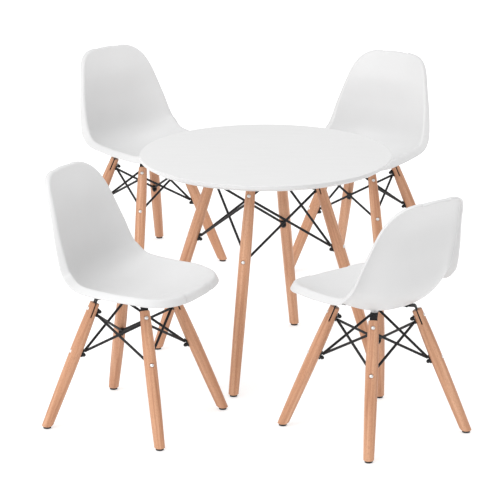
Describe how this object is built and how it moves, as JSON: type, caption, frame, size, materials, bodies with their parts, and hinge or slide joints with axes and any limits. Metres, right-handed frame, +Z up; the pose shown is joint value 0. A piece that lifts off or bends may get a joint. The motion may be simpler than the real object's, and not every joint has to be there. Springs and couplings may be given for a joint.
{
  "type": "kids table and chairs",
  "caption": "Low round table with moulded shell chairs, each on splayed beech dowel legs tied by black wire cages, sized for small children.",
  "frame": {"origin": "on the floor, under the centre of the whole set's box", "axes": "+X to the right seen from the open front side, +Y away across the set's longer side, +Z up"},
  "size_m": [1.0172, 1.7664, 0.5727],
  "materials": {
    "white_plastic": "satin moulded polypropylene with a very fine grain",
    "white_board": "satin white lacquer on fibreboard",
    "beech": "clear satin varnish on beech",
    "black_steel": "fine black powder coat",
    "zinc_bolt": "bright zinc plate",
    "black_nut": "black oxide",
    "black_screw": "black zinc",
    "black_rubber": "matte black rubber",
    "brass_insert": "plain brass",
    "black_glide": "matte black nylon"
  },
  "bodies": {
    "table": {"table_top": "white_board", "table_top_inserts": "brass_insert", "table_top_screws": "black_screw", "table_top_cross": "black_steel", "table_wire_cage": "black_steel", "table_leg_bolts": "zinc_bolt", "table_leg_nuts": "black_nut", "table_glides": "black_glide", "table_leg_back": "beech", "table_leg_right": "beech", "table_leg_left": "beech", "table_leg_front": "beech"},
    "chair_1": {"chair_1_shell": "white_plastic", "chair_1_seat_pads": "black_rubber", "chair_1_seat_screws": "black_screw", "chair_1_seat_cross": "black_steel", "chair_1_wire_cage": "black_steel", "chair_1_leg_bolts": "zinc_bolt", "chair_1_leg_nuts": "black_nut", "chair_1_glides": "black_glide", "chair_1_leg_front_left": "beech", "chair_1_leg_front_right": "beech", "chair_1_leg_rear_left": "beech", "chair_1_leg_rear_right": "beech"},
    "chair_2": {"chair_2_shell": "white_plastic", "chair_2_seat_pads": "black_rubber", "chair_2_seat_screws": "black_screw", "chair_2_seat_cross": "black_steel", "chair_2_wire_cage": "black_steel", "chair_2_leg_bolts": "zinc_bolt", "chair_2_leg_nuts": "black_nut", "chair_2_glides": "black_glide", "chair_2_leg_front_left": "beech", "chair_2_leg_front_right": "beech", "chair_2_leg_rear_left": "beech", "chair_2_leg_rear_right": "beech"},
    "chair_3": {"chair_3_shell": "white_plastic", "chair_3_seat_pads": "black_rubber", "chair_3_seat_screws": "black_screw", "chair_3_seat_cross": "black_steel", "chair_3_wire_cage": "black_steel", "chair_3_leg_bolts": "zinc_bolt", "chair_3_leg_nuts": "black_nut", "chair_3_glides": "black_glide", "chair_3_leg_front_left": "beech", "chair_3_leg_front_right": "beech", "chair_3_leg_rear_left": "beech", "chair_3_leg_rear_right": "beech"},
    "chair_4": {"chair_4_shell": "white_plastic", "chair_4_seat_pads": "black_rubber", "chair_4_seat_screws": "black_screw", "chair_4_seat_cross": "black_steel", "chair_4_wire_cage": "black_steel", "chair_4_leg_bolts": "zinc_bolt", "chair_4_leg_nuts": "black_nut", "chair_4_glides": "black_glide", "chair_4_leg_front_left": "beech", "chair_4_leg_front_right": "beech", "chair_4_leg_rear_left": "beech", "chair_4_leg_rear_right": "beech"}
  },
  "joints": [
    {"name": "chair_1_slide", "type": "slide", "parent": "table", "child": "chair_1", "axis": [0.8854, -0.4648, 0], "range_m": [-0.15, 0.06]},
    {"name": "chair_2_slide", "type": "slide", "parent": "table", "child": "chair_2", "axis": [-0.628, 0.7782, 0], "range_m": [-0.15, 0.08]},
    {"name": "chair_3_slide", "type": "slide", "parent": "table", "child": "chair_3", "axis": [0.6293, -0.7771, 0], "range_m": [-0.15, 0.12]},
    {"name": "chair_4_slide", "type": "slide", "parent": "table", "child": "chair_4", "axis": [-0.5135, -0.8581, 0], "range_m": [-0.15, 0.12]}
  ]
}
